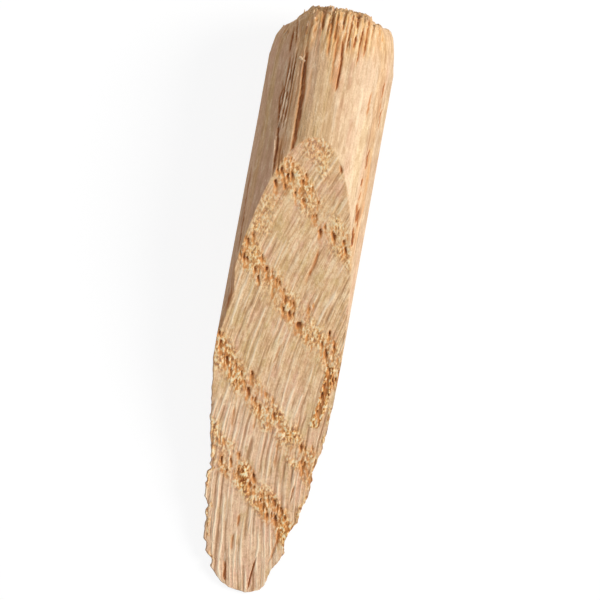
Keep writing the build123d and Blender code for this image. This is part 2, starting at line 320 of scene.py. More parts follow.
# ---------------------------------------------------------------- splits, grooves and streaks
# A groove's darkness is painted shade in it together with its own reddish-brown colour.
SKIN_GROOVES = [  # points (place across as seen from above, place along), width, depth, darkness
    ([(-2.06, 19.5), (-1.97, 18.3), (-1.92, 17.0), (-1.77, 15.5), (-1.68, 14.2), (-1.7, 13.0), (-1.7, 12.0),
      (-1.74, 9.0)], 0.37, 0.07, 1.2),
    ([(-2.08, 19.2), (-2.02, 17.4), (-1.92, 15.8), (-1.82, 14.0), (-1.82, 11.0)], 0.16, 0.15, 1.3),
    ([(-3.1, 21.1), (-2.88, 18.8)], 0.16, 0.14, 1.1),
    ([(-3.28, 20.4), (-3.26, 18.0)], 0.2, 0.14, 1.2),
    ([(-3.73, 20.0), (-3.67, 18.7)], 0.1, 0.08, 0.5),
    ([(-3.16, 18.4), (-3.12, 16.0), (-3.16, 13.4)], 0.16, 0.12, 1.2),
    ([(-2.93, 18.6), (-2.9, 15.5), (-2.95, 12.0)], 0.14, 0.12, 1.1),
    ([(-2.73, 18.8), (-2.7, 16.0), (-2.74, 12.2)], 0.14, 0.12, 1.1),
    ([(-2.5, 16.8), (-2.53, 11.6)], 0.12, 0.07, 0.6),
    ([(-2.3, 19.2), (-2.22, 16.5), (-2.1, 13.5)], 0.14, 0.05, 0.5),
    ([(-3.39, 16.3), (-3.29, 15.4), (-3.38, 14.8), (-3.17, 13.3), (-2.95, 11.5),
      (-2.88, 8.7)], 0.2, 0.17, 1.3),
    ([(-2.86, 11.6), (-2.82, 10.4), (-2.78, 9.3)], 0.16, 0.08, 0.7),
    ([(-2.66, 11.9), (-2.62, 10.6), (-2.55, 9.2)], 0.18, 0.09, 0.7),
    ([(-2.45, 11.2), (-2.42, 10.4), (-2.4, 9.8)], 0.14, 0.06, 0.6),
    ([(-1.24, 22.3), (-1.2, 21.2), (-1.13, 20.2)], 0.26, 0.14, 0.9),
    ([(-0.74, 21.6), (-0.72, 19.9)], 0.13, 0.09, 0.9),
    ([(-0.47, 22.3), (-0.49, 21.0), (-0.44, 18.2)], 0.15, 0.13, 0.9),
    ([(-0.15, 21.9), (-0.08, 19.4)], 0.2, 0.11, 0.8),
    ([(0.1, 20.4), (0.16, 17.0)], 0.13, 0.08, 0.8),
    ([(0.38, 22.3), (0.44, 20.4)], 0.13, 0.12, 1.0),
    ([(0.42, 20.2), (0.6, 19.2), (0.69, 18.4), (0.72, 15.7)], 0.19, 0.15, 1.3),
    ([(0.66, 21.9), (0.64, 19.2)], 0.1, 0.08, 0.7),
    ([(1.02, 22.3), (1.0, 21.0), (0.93, 18.8)], 0.15, 0.14, 1.1),
    ([(1.42, 22.2), (1.46, 20.9)], 0.2, 0.11, 1.2),
    ([(1.43, 20.4), (1.4, 19.3)], 0.22, 0.14, 1.1),
    ([(1.88, 21.4), (1.86, 18.0)], 0.12, 0.12, 1.1),
    ([(2.26, 22.2), (2.3, 18.7)], 0.16, 0.14, 1.2),
    ([(2.62, 21.6), (2.64, 20.2)], 0.1, 0.06, 0.6),
    ([(3.1, 21.6), (3.12, 19.9)], 0.12, 0.06, 0.5),
    ([(4.21, 17.4), (4.17, 16.7), (4.2, 16.0)], 0.2, 0.08, 1.3),
    ([(4.15, 15.9), (4.2, 15.5), (4.19, 14.9)], 0.18, 0.07, 0.9),
    ([(4.37, 15.4), (4.32, 14.8), (4.34, 13.8)], 0.2, 0.08, 1.1),
    ([(3.99, 12.3), (3.93, 11.6), (3.94, 10.6)], 0.22, 0.1, 1.4),
    ([(3.37, 16.5), (3.34, 15.6), (3.35, 14.5)], 0.2, 0.03, 0.6),
    ([(3.86, 10.0), (3.84, 9.3)], 0.22, 0.1, 1.2),
    ([(3.92, 9.0), (3.9, 8.2)], 0.14, 0.08, 1.0),
    ([(3.84, 8.1), (3.93, 7.4), (3.96, 6.5)], 0.38, 0.12, 1.5),
    ([(4.06, 7.8), (4.04, 7.2), (4.1, 6.1)], 0.2, 0.08, 1.1),
    ([(3.86, 6.3), (3.96, 5.6), (4.0, 4.7)], 0.34, 0.1, 1.5),
    ([(-4.52, 9.8), (-4.52, 7.9), (-4.5, 6.4), (-4.39, 3.8), (-4.4, 2.3)], 0.2, 0.12, 1.3),
]
# Here too the darkness is painted shade together with the groove's own colour.
FACE_GROOVES = [  # the same for the sawn face
    ([(1.6, 4.4), (1.5, 3.2), (1.25, 2.1), (1.08, 1.1)], 0.3, 0.05, 0.55),
    ([(4.06, -4.6), (4.08, -6.0), (3.92, -7.8), (3.66, -9.2)], 0.34, 0.05, 0.6),
    ([(2.06, 11.0), (2.12, 10.5), (2.25, 9.9)], 0.34, 0.12, 0.9),
    ([(2.54, -17.4), (2.4, -18.6), (2.14, -19.9)], 0.3, 0.06, 0.6),
    ([(1.13, -19.6), (1.02, -20.8), (0.88, -22.3)], 0.14, 0.12, 1.0),
    ([(-1.16, -20.3), (-1.0, -21.2), (-0.9, -21.9)], 0.26, 0.1, 1.0),
    ([(2.95, -13.7), (2.96, -14.4), (2.92, -15.1)], 0.15, 0.1, 0.9),
    ([(1.25, -10.6), (1.28, -12.8)], 0.24, 0.05, 0.7),
    ([(-0.68, -16.6), (-0.66, -17.7)], 0.24, 0.05, 0.7),
    ([(-0.86, -18.1), (-0.8, -19.5)], 0.2, 0.05, 0.6),
    ([(-2.5, -8.6), (-2.5, -10.3)], 0.2, 0.05, 0.5),
    ([(-0.8, -8.9), (-0.78, -10.2)], 0.16, 0.05, 0.6),
    ([(2.45, -8.4), (2.47, -10.0)], 0.16, 0.05, 0.6),
    ([(0.1, -3.3), (-0.1, -4.4), (-0.25, -5.0)], 0.3, 0.05, 0.6),
]
STAINS = [  # streaks of darker mauve wood
    ([(1.62, 18.8), (1.66, 16.1)], 0.4, 0, 1.0),
    ([(1.3, 15.9), (1.38, 12.6)], 0.36, 0, 0.9),
    ([(2.2, 14.4), (2.25, 11.8)], 0.3, 0, 0.9),
    ([(3.1, 21.2), (3.12, 18.6)], 0.5, 0, 0.8),
    ([(3.35, 16.4), (3.4, 14.0)], 0.24, 0, 0.6),
    ([(-0.2, 15.8), (-0.22, 13.4)], 0.3, 0, 0.6),
    ([(-2.35, 19.6), (-2.3, 16.0), (-2.1, 12.2)], 0.6, 0, 0.8),
    ([(-4.0, 19.0), (-3.9, 12.0)], 0.7, 0, 0.5),
]
CRESTS = [  # raised fibres between the splits, painted with a highlight
    ([(-3.03, 18.4), (-3.0, 16.0), (-3.02, 12.2)], 0.15, 0, 0.9),
    ([(-2.82, 18.6), (-2.8, 15.0), (-2.81, 11.8)], 0.13, 0, 0.85),
    ([(-2.6, 18.0), (-2.61, 14.0), (-2.58, 12.0)], 0.13, 0, 0.7),
    ([(-3.0, 11.8), (-2.98, 9.9), (-2.96, 9.0)], 0.12, 0, 0.6),
    ([(-3.26, 17.8), (-3.22, 15.0), (-3.2, 13.9)], 0.1, 0, 0.8),
    ([(-2.98, 21.0), (-2.9, 19.6)], 0.12, 0, 0.8),
    ([(-1.6, 19.5), (-1.5, 16.5), (-1.42, 13.5)], 0.16, 0, 0.5),
    ([(-0.95, 22.3), (-0.9, 19.2)], 0.22, 0, 0.6),
    ([(-0.3, 21.6), (-0.3, 19.8)], 0.12, 0, 0.4),
    ([(0.22, 22.2), (0.26, 20.6)], 0.16, 0, 0.5),
    ([(0.84, 22.2), (0.8, 18.6)], 0.18, 0, 0.6),
    ([(1.22, 21.4), (1.18, 20.0)], 0.12, 0, 0.35),
    ([(1.64, 21.6), (1.68, 19.0)], 0.2, 0, 0.6),
    ([(2.04, 21.9), (2.1, 20.2)], 0.2, 0, 0.45),
    ([(2.46, 21.7), (2.5, 18.9)], 0.22, 0, 0.5),
    ([(2.6, 17.5), (2.7, 13.0)], 0.3, 0, 0.5),
    ([(0.9, 16.4), (1.0, 12.8)], 0.3, 0, 0.5),
]
GLOWS = [  # streaks of orange wood
    ([(0.45, 19.8), (0.45, 18.0), (0.55, 15.9)], 1.0, 0, 1.0),
    ([(-0.2, 21.2), (-0.15, 18.0)], 0.8, 0, 0.9),
    ([(4.12, 12.6), (4.2, 10.6), (4.28, 8.0), (4.2, 4.4)], 0.5, 0, 0.9),
    ([(1.0, 22.0), (1.1, 19.6)], 0.9, 0, 0.8),
    ([(2.3, 21.8), (2.2, 19.2)], 0.7, 0, 0.8),
    ([(-2.6, 12.2), (-2.6, 9.0)], 0.75, 0, 1.0),
    ([(-1.55, 18.6), (-1.4, 14.0)], 0.4, 0, 0.7),
]


def carve(x, y, flat, lines, seed):
    """Depth and darkness of tapered grooves; flat is how level the surface is across the grain. In the splits
    the darkness is painted shade with their own colour; for stains, glows and crests it is only the mask.
    """
    depth, dark = np.zeros_like(x), np.zeros_like(x)
    for i, (points, width, deep, shade) in enumerate(lines):
        xs, ys = zip(*sorted(points, key=lambda p: p[1]))
        inside = (y > ys[0]) & (y < ys[-1])
        yy = y[inside]
        middle = np.interp(yy, ys, xs) + 0.03 * noise(seed + i, yy * 0.9)
        middle = middle + 0.02 * noise(seed + 50 + i, yy * 5)
        t = (yy - ys[0]) / (ys[-1] - ys[0])
        taper = np.clip(np.minimum(t, 1 - t) * 5, 0, 1) ** 0.6
        half = width / 2 * taper * (1 + 0.3 * noise(seed + 90 + i, yy * 1.6))
        off = np.abs(x[inside] - middle) / flat[inside] / np.maximum(half, 0.02)
        form = taper * np.clip(1 - off**2, 0, 1) ** 0.7
        depth[inside] = np.maximum(depth[inside], deep * form)
        across, uneven = (13, 0.5) if width > 0.25 else (1, 0.25)
        broken = noise(seed + 140 + i, yy * 2.2, x[inside] * across)
        dark[inside] = np.maximum(dark[inside], shade * form * (0.85 + uneven * broken))
    return depth, np.clip(dark, 0, 1)


# ---------------------------------------------------------------- relief, and the material's fields
def torn(x, z):
    """Height of the torn fibres at the blunt end."""
    wx = x + 0.1 * noise(60, x * 1.1, z * 1.1)
    plate = scatter(61, np.floor(wx / 0.4 + 0.3 * noise(62, z * 0.7)), np.floor(z / 0.8 + 40))
    small = scatter(63, np.floor(wx / 0.17), np.floor(z / 0.36 + 40))
    fine = noise(64, x * 7, z * 5)
    tuft = 0.3 * np.exp(-(((x + 0.7) / 0.16) ** 2)) * smooth(6.5, 7.0, z)
    return 0.06 + tuft - 0.42 * plate**2 - 0.16 * small + 0.05 * fine


def fibres(seed, x, y, z, side, fine, long):
    """Ridges that run straight along the grain, also where the bevel narrows."""
    across = noise(seed, x * fine, y * long, z * fine * 0.15)
    upward = noise(seed + 1, z * fine, y * long, x * fine * 0.15)
    return across * (1 - side) + upward * side


def early_wood(x, y, z):
    """Where the growth rings' porous early wood is, from 0 to 1."""
    level = z + RING_TILT * x
    spread = 0.09 * noise(21, x * 1.3, y * 0.3, z * 1.3) + 0.07 * noise(22, x * 4, y * 1.6, z * 4)
    early = np.zeros_like(x)
    for ring, value in enumerate(RINGS):
        here = smooth(BAND + 0.16, BAND - 0.12, np.abs(level + spread - value))
        if ring == 0:  # the top ring stops right of the middle
            here = here * smooth(1.8, 0.6, x)
        if ring == 1:  # the next one is thin there
            here = here * (1 - 0.5 * smooth(0.2, 1.2, x) * smooth(2.5, 1.7, x))
        early = np.maximum(early, here)
    return early


def tufts(x, y, early):
    """Where fibres stand up in tufts on the face, from 0 to 1."""
    beside = smooth(1.1, 0.5, np.abs(x + 2.75 - 0.132 * (y - 6))) * smooth(4.0, 4.8, y) * smooth(7.9, 7.2, y)
    bands = np.maximum(early, beside) * (0.55 + 0.45 * noise(23, x * 1.1, y * 0.8))
    apex = 0.62 * smooth(1.5, 0.8, np.hypot(x - 0.2, y - 11.5))
    worn = smooth(0.5, 0.25, np.abs(x - look_up(WORN_EDGE, y, left=-NOWHERE, right=-NOWHERE)))
    # specks along the ragged edges of the thin part
    inward = np.minimum(x - x[:, :1], x[:, TOP - 1:TOP] - x) + 0.12 * noise(77, x * 3, y * 3)
    specks = smooth(0.36, 0.12, np.minimum(inward, (y - TIP) * 0.7)) * smooth(-3, -9, y)
    specks = 0.65 * specks * smooth(-0.15, 0.35, noise(78, x * 2.2, y * 1.3))
    return np.max([bands, apex, worn, specks], axis=0)


def open_pores(x, y, z, n, face, side, rim):
    """How deep open vessels are, fewer and shallower on the skin, and how near the face is to one."""
    pore, halo = bore_out(x, y, z, n)
    calm = 0.1 + smooth(0.35, 0.75, side) * np.where(x > 0, 0.9, 0)
    above = z > RADIUS
    skin_share = calm * (1 - rim) * above + (1 - 0.5 * above) * rim
    pore = np.where(face, pore, pore * skin_share) * (0.75 + 0.45 * noise(24, x * 8, y * 4, z * 3))
    return pore, halo * face


def splits(x, y, z, face, skin, flat, torn_pit_shade):
    """Depth of the splits, and painted shade with the splits' own dark colour in the splits, along the broken
    edge's crease and in the torn end's pits.
    """
    skin_cut, skin_dark = (np.where(skin, v, 0) for v in carve(x, y, flat, SKIN_GROOVES, 100))
    face_cut, face_dark = (np.where(face, v, 0) for v in carve(x, y, np.ones_like(x), FACE_GROOVES, 300))
    # painted shade along the crease where the left edge broke away
    crease_shade = look_up(EDGE_BREAK, y, left=NOWHERE, right=NOWHERE) - x
    crease_shade = smooth(-0.1, 0.03, crease_shade) * smooth(0.42, 0.1, crease_shade) * (0.75 + 0.5 * noise(75, x * 5, y * 1.6))
    streaks = 0.55 + 0.45 * noise(76, z * 7 + x * 3, y * 0.9)
    crease_shade = 0.8 * crease_shade * streaks * smooth(0.6, 0.4, face_height(y) - z) * (x < -4)
    return np.maximum(skin_cut, face_cut), np.max([skin_dark, face_dark, crease_shade, torn_pit_shade], axis=0)


def skin_relief(x, y, z, side, early, rim, end):
    """Fibre ridges along the grain, deeper in the early wood and at the worn rim."""
    ridge = fibres(31, x, y, z, side, 6, 0.25) * 0.5 + fibres(33, x, y, z, side, 2.2, 0.12) * 0.5
    plates = scatter(39, np.floor(x * 2.6 + 0.2 * noise(43, y * 0.5)), np.floor(z / 3)) - 0.5
    return ridge * (0.016 + 0.03 * early + 0.05 * rim) + plates * 0.16 * rim * (1 - end) * (1 - side)


def saw_marks(x, y, more):
    """Height of the arcs that the saw left, and where their crests and hollows are; the material paints
    highlight on the crests and shade in the hollows.
    """
    u = np.hypot(x - SAW_X, y - SAW_Y)
    v = np.arctan2(y - SAW_Y, SAW_X - x) * SAW_REACH
    saw = noise(34, u * 2.6, v * 0.3) * 0.7 + noise(35, u * 6, v * 0.6) * 0.3
    wander = 0.32 * noise(70, u * 0.8, v * 0.12) + 0.08 * noise(71, u * 2.5, v * 0.5)
    wander = wander + 0.03 * noise(74, u * 6, v * 2)
    wave = np.abs((u + wander) / 0.5 % 1 * 2 - 1)
    highlit_crest = smooth(0.62, 0.98, wave) * smooth(-more, 0.4 - more, noise(72, u * 2.2, v * 0.42))
    shaded_hollow = smooth(0.4, 0.08, wave) * smooth(-more, 0.4 - more, noise(73, u * 2.2, v * 0.42))
    between = np.abs((u + 0.7 * wander) / 0.33 % 1 * 2 - 1)
    between = smooth(0.66, 0.96, between) * smooth(0, 0.35, noise(79, u * 2.6, v * 0.5))
    highlit_crest = np.maximum(highlit_crest, between * 3.2 * more)
    height = saw * 0.025 + (highlit_crest * 0.035 - shaded_hollow * 0.03) * (1 + more) + 0.02 * noise(38, x * 0.8, y * 0.6)
    return height, highlit_crest, shaded_hollow


def plug_mesh():
    """Points of the dressed plug in rings, and the fields that its material reads."""
    x, y, z, face = ring_grid()
    n = normals(x, y, z)
    r_now = np.hypot(x, z - RADIUS)
    side = (x / np.maximum(r_now, 0.01)) ** 2
    flat = np.sqrt(np.maximum(1 - side, 0.06))
    skin = ~face & (z > RADIUS)  # the part that shows from above
    rim = smooth(BEVEL, BEVEL + 2.2, y)
    end = smooth(3.9, 2.9, r_now) * rim
    early = early_wood(x, y, z)
    tufted = tufts(x, y, early)
    # thickness of wood under each point of the face, so that nothing cuts through near the tip
    under = RADIUS - np.sqrt(np.maximum(skin_radius(y) ** 2 - x**2, 0))
    thick = np.where(face, np.maximum(z - under, 0.02), 3.0)
    thin = np.clip(thick * 0.45, 0, 0.5)

    stood = torn(x, z)
    pore, halo = open_pores(x, y, z, n, face, side, rim)
    # the torn end's sunken fibres are painted with shade
    cut, dark = splits(x, y, z, face, skin, flat, end * smooth(-0.08, -0.5, stood) * 0.75)
    stain, glow, crest = (
        np.where(skin, carve(x, y, flat, lines, seed)[1], 0)
        for lines, seed in ((STAINS, 500), (GLOWS, 600), (CRESTS, 700))
    )
    # painted light: the skin's top is painted paler from the middle to the right flank, the side that faces
    # the key lamp; this fades out at the far right edge and towards the tip
    right_flank_painted_light = np.where(skin, smooth(0.4, 3.0, x) * (1 - 0.8 * smooth(3.6, 4.5, x)), 0) * smooth(-2, 2, y)

    more = 0.25 * smooth(-5, -11, y)  # marks and tufts are denser towards the tip
    height, highlit_crest, shaded_hollow = (v * face for v in saw_marks(x, y, more))
    tuft = noise(36, x * 4.2, y * 2.6) * 0.6 + noise(37, x * 8, y * 5) * 0.5
    on_face = height * (1 - 0.6 * tufted) + tuft * (0.075 + 0.1 * more) * tufted
    on_skin = skin_relief(x, y, z, side, early, rim, end) + 0.03 * crest
    relief = np.where(face, on_face, on_skin) * np.clip(thick * 2, 0, 1)
    move = (relief - np.minimum(np.maximum(pore * 0.9, cut), thin)) * (1 - 0.7 * end)
    x, y, z = (c + n[..., i] * move for i, c in enumerate((x, y, z)))

    y = y + end * stood
    teeth = noise(41, x * 5.5, z * 0.8) * 0.5 + scatter(44, np.floor(x * 2.6), np.floor(z / 2)) - 0.5
    y = y + (1 - end) * smooth(SHOULDER - 1.4, SHOULDER, y) * 0.16 * teeth
    y = y + smooth(1.2, 0, y - TIP) * 0.07 * noise(42, x * 4.0, x * 0)  # uneven tip
    # painted highlight: the saw's crests, the raised fibres between the splits and the standing ends of the
    # torn fibres
    painted_highlight = np.max([highlit_crest * (1 - tufted), crest, end * smooth(-0.05, 0.1, stood) * 0.6], axis=0)
    # among the wood's own colours, the fields carry painted shade for the splits, the crease and the torn
    # end's pits, and painted highlight and shade for the saw's crests and hollows
    fields = {
        "pore": np.clip(pore / 0.2, 0, 1), "halo": halo, "cut": dark, "early": early, "tufted": tufted,
        "face": face.astype(float), "torn": end, "rim": rim, "side": side, "stain": stain, "glow": glow,
        "right_flank_painted_light": right_flank_painted_light, "highlit_crest": painted_highlight, "shaded_hollow": shaded_hollow * (1 - tufted),
    }
    return x, y, z, fields


# ---------------------------------------------------------------- loose fibres
SPLINTERS = [  # on the skin: foot across and along, tip across and along, width
    ((-2.46, 18.02), (-1.98, 17.76), 0.32), ((-3.0, 13.6), (-3.12, 12.5), 0.14),
    ((-3.16, 11.6), (-3.02, 10.4), 0.14), ((-2.82, 16.2), (-2.9, 15.3), 0.1),
    ((1.08, 20.1), (1.2, 19.2), 0.12), ((1.5, 20.5), (1.62, 19.9), 0.12),
]
END_SPLINTERS, UPPER_SPLINTERS = 110, 50  # on the torn end, and how many of them keep to its upper half
STATIONS, CORNERS = 5, 4  # rings of points along a sliver, and points in a ring


def end_splinters(x, y, z):
    """Foot, tip and width of the fibres that stand out of the torn end."""
    for n in range(END_SPLINTERS):
        row = -4 - int(scatter(800, n) ** 1.2 * 42)  # counted outwards from the end's middle
        col = int(scatter(801, n) * ((TOP if n < UPPER_SPLINTERS else x.shape[1]) - 1))
        long = 0.04 + 0.22 * float(scatter(802, n)) ** 2
        foot = np.array([x[row, col], y[row, col] - 0.08, z[row, col]])
        out = np.array([foot[0], 0, foot[2] - RADIUS]) / 5 * (scatter(803, n) - 0.3)
        tip = foot + np.array([0.12 * (scatter(804, n) - 0.5), long + 0.08, 0]) + out * long
        yield foot, tip, 0.1 + 0.12 * float(scatter(805, n))


def skin_splinters(x, y, z):
    """Foot, tip and width of the fibres on the skin, each end at the height of the nearest surface point."""
    x, y, z = x[:, :TOP], y[:, :TOP], z[:, :TOP]
    for foot, tip, width in SPLINTERS:
        (fx, fy, fz), (tx, ty, tz) = ((a, b, z.flat[np.hypot(x - a, y - b).argmin()]) for a, b in (foot, tip))
        yield np.array([fx, fy, fz]), np.array([tx, ty, tz + 0.04]), width


def build_splinters(surface, material):
    """Each splinter is a bent, tapering sliver."""
    points, faces = [], []
    slivers = [*end_splinters(*surface), *skin_splinters(*surface)]
    for n, (foot, tip, wide) in enumerate(slivers):
        along_it = tip - foot
        across = np.cross(along_it, [0, 0, 1.0])
        across /= np.linalg.norm(across)
        up = np.cross(across, along_it)
        up /= np.linalg.norm(up)
        first = len(points)
        for t in np.linspace(0, 1, STATIONS):
            middle = foot + along_it * t + up * 0.05 * math.sin(math.pi * t) * (scatter(806, n) - 0.3)
            a, b = across * wide / 2 * (1 - 0.6 * t), up * wide / 4 * (1 - 0.6 * t)
            points += [middle - a, middle + b, middle + a, middle - b]
        for start in range(first, first + (STATIONS - 1) * CORNERS, CORNERS):
            for i in range(CORNERS):
                j = (i + 1) % CORNERS
                faces.append((start + i, start + CORNERS + i, start + CORNERS + j, start + j))
        last = len(points) - 1
        faces += [tuple(range(first, first + CORNERS)), tuple(range(last, last - CORNERS, -1))]
    mesh = bpy.data.meshes.new("torn_fibres")
    mesh.from_pydata(laid_down(*np.array(points).T).tolist(), [], faces)
    on_skin = STATIONS * CORNERS * len(SPLINTERS)
    # the loose fibres get a little painted highlight, and the colours of the rim and the torn end
    for name, at_end, along_skin in (("highlit_crest", 0.3, 0.4), ("rim", 0.7, 0.2), ("torn", 0.2, 0)):
        values = np.full(len(points), at_end, np.float32)
        values[-on_skin:] = along_skin
        mesh.attributes.new(name, "FLOAT", "POINT").data.foreach_set("value", values)
    return finished(mesh, material)


# ---------------------------------------------------------------- meshes in metres, lying on the floor
def laid_down(x, y, z):
    """The plug lies on the bottom of its shank and of its wider tip; metres."""
    settle = math.atan2(TIP_RADIUS - RADIUS, BEVEL - TIP)
    c, s = math.cos(settle), math.sin(settle)
    return np.stack([x, y * c + z * s, z * c - y * s + BEVEL * s], -1) / 1000


def finished(mesh, material):
    """A piece of the scene with the mesh's name."""
    mesh.materials.append(material)
    mesh.update()
    piece = bpy.data.objects.new(mesh.name, mesh)
    bpy.context.scene.collection.objects.link(piece)
    return piece


def build_plug(x, y, z, fields, material):
    """The rings joined by quads, with a fan of triangles at each end."""
    rows, cols = x.shape
    points = laid_down(x, y, z).reshape(-1, 3)
    tip, end = points[:cols].mean(0), points[-cols:].mean(0)
    index = np.arange(rows * cols).reshape(rows, cols)
    right = np.roll(index, -1, axis=1)
    quads = np.stack([index[:-1], right[:-1], right[1:], index[1:]], -1).reshape(-1, 4)
    tip_index, end_index = rows * cols, rows * cols + 1
    caps = [(tip_index, int(right[0, i]), int(index[0, i])) for i in range(cols)]
    caps += [(end_index, int(index[-1, i]), int(right[-1, i])) for i in range(cols)]
    mesh = bpy.data.meshes.new("plug_wood")
    mesh.from_pydata(np.vstack([points, tip, end]).tolist(), [], quads.tolist() + caps)
    for name, values in fields.items():
        data = np.append(values.reshape(-1), [0, values[-1].mean()]).astype(np.float32)
        mesh.attributes.new(name, "FLOAT", "POINT").data.foreach_set("value", data)
    mesh.polygons.foreach_set("use_smooth", np.ones(len(mesh.polygons), bool))
    return finished(mesh, material)


# ---------------------------------------------------------------- material
def colour(r, g, b):
    """A screen colour from 0 to 255 as linear light."""
    shares = (r / 255, g / 255, b / 255)
    return tuple(s / 12.92 if s <= 0.04 else ((s + 0.055) / 1.055) ** 2.4 for s in shares) + (1.0,)


class Nodes:
    """A material's node tree, with a short call for each kind of node in it."""

    def __init__(self, name):
        self.material = bpy.data.materials.new(name)
        self.material.use_nodes = True
        self.tree = self.material.node_tree
        self.tree.nodes.clear()

    def put(self, kind, inputs=None, **props):
        node = self.tree.nodes.new(kind)
        for key, value in props.items():
            setattr(node, key, value)
        for key, value in (inputs or {}).items():
            self.plug(node.inputs[key], value)
        return node

    def plug(self, socket, value):
        if isinstance(value, bpy.types.NodeSocket):
            self.tree.links.new(value, socket)
        else:
            socket.default_value = value

    def calc(self, kind, a, b=0.5, clamp=False):
        return self.put("ShaderNodeMath", {0: a, 1: b}, operation=kind, use_clamp=clamp).outputs[0]

    def times(self, first, *others):
        for other in others:
            first = self.calc("MULTIPLY", first, other)
        return first

    def most(self, a, b):
        return self.calc("MAXIMUM", a, b)

    def weighed(self, first, *others):
        """A sum of pairs of value and weight."""
        total = self.times(*first)
        for pair in others:
            total = self.calc("ADD", total, self.times(*pair))
        return total

    def scaled(self, vector, scale):
        return self.put("ShaderNodeVectorMath", {0: vector, 1: scale}, operation="MULTIPLY").outputs[0]

    def noise(self, vector, scale, detail=2.0, rough=0.5):
        inputs = {"Vector": self.scaled(vector, scale), "Scale": 1.0, "Detail": detail, "Roughness": rough}
        return self.put("ShaderNodeTexNoise", inputs).outputs[0]

    def mix(self, share, a, b):
        return self.put("ShaderNodeMix", {0: share, 6: a, 7: b}, data_type="RGBA").outputs[2]

    def fade(self, value, low, high, out_low=0.0, out_high=1.0):
        inputs = {0: value, 1: low, 2: high, 3: out_low, 4: out_high}
        return self.put("ShaderNodeMapRange", inputs, clamp=True).outputs[0]

    def ramp(self, value, stops):
        node = self.put("ShaderNodeValToRGB", {0: value})
        band = node.color_ramp
        while len(band.elements) < len(stops):
            band.elements.new(0.5)
        for element, (place, tint) in zip(band.elements, stops):
            element.position, element.color = place, tint
        return node.outputs[0]

    def field(self, name):
        return self.put("ShaderNodeAttribute", attribute_name=name).outputs["Fac"]


class OakNodes(Nodes):
    """The mesh's fields and the noises that all of the oak's colours are made from."""

    def __init__(self):
        super().__init__("oak_wood")
        self.place = self.scaled(self.put("ShaderNodeTexCoord").outputs["Object"], (1000, 1000, 1000))
        self.px, self.py, self.pz = self.put("ShaderNodeSeparateXYZ", {0: self.place}).outputs
        self.face, self.early, self.pore, self.cut, self.torn_end, self.rim, self.side, self.tufted = (
            self.field(name) for name in ("face", "early", "pore", "cut", "torn", "rim", "side", "tufted")
        )
        self.hair, self.fine, self.mid = self.grain(13, 0.5), self.grain(6, 0.22), self.grain(2.2, 0.08)
        self.patch = self.noise(self.place, (0.55, 0.1, 0.55), 1)
        self.speck = self.noise(self.place, (6, 3.2, 6), 2)
        self.grit = self.noise(self.place, (9, 7, 9), 1)
        self.mottle = self.differing(((3.4, 0.9, 3.4), 4, 0.7), ((3.4, 2.2, 3.4), 4, 0.75))
        self.hue = self.differing(((0.9, 0.1, 0.9), 3, 0.6), ((0.9, 0.32, 0.9), 4, 0.7))
        self.foot = self.fade(self.py, -2, -9)  # how far into the thin part, from 0 to 1
        arcs = self.saw_places()
        self.saw = self.noise(arcs, (4.2, 0.42, 1), 2)
        self.saw_fine = self.noise(arcs, (9, 1.0, 1), 1)
        self.saw_wide = self.noise(arcs, (1.3, 0.16, 1), 1)

    def grain(self, fine, long, detail=2):
        """Noise in streaks along the grain, from whichever side the surface faces."""
        across = self.noise(self.place, (fine, long, fine * 0.15), detail)
        upward = self.noise(self.place, (fine * 0.15, long, fine), detail)
        return self.calc("ADD", across, self.times(self.side, self.calc("SUBTRACT", upward, across)))

    def differing(self, on_skin, on_face):
        """Noise that is stretched one way on the skin and another on the face."""
        return self.mix(self.face, self.noise(self.place, *on_skin), self.noise(self.place, *on_face))

    def saw_places(self):
        """Polar places about the saw's middle."""
        ux, uy = self.calc("SUBTRACT", float(SAW_X), self.px), self.calc("ADD", self.py, float(-SAW_Y))
        distance = self.calc("SQRT", self.calc("ADD", self.times(ux, ux), self.times(uy, uy)))
        bend = self.times(self.calc("ARCTAN2", uy, ux), float(SAW_REACH))
        return self.put("ShaderNodeCombineXYZ", {0: distance, 1: bend, 2: 0.0}).outputs[0]


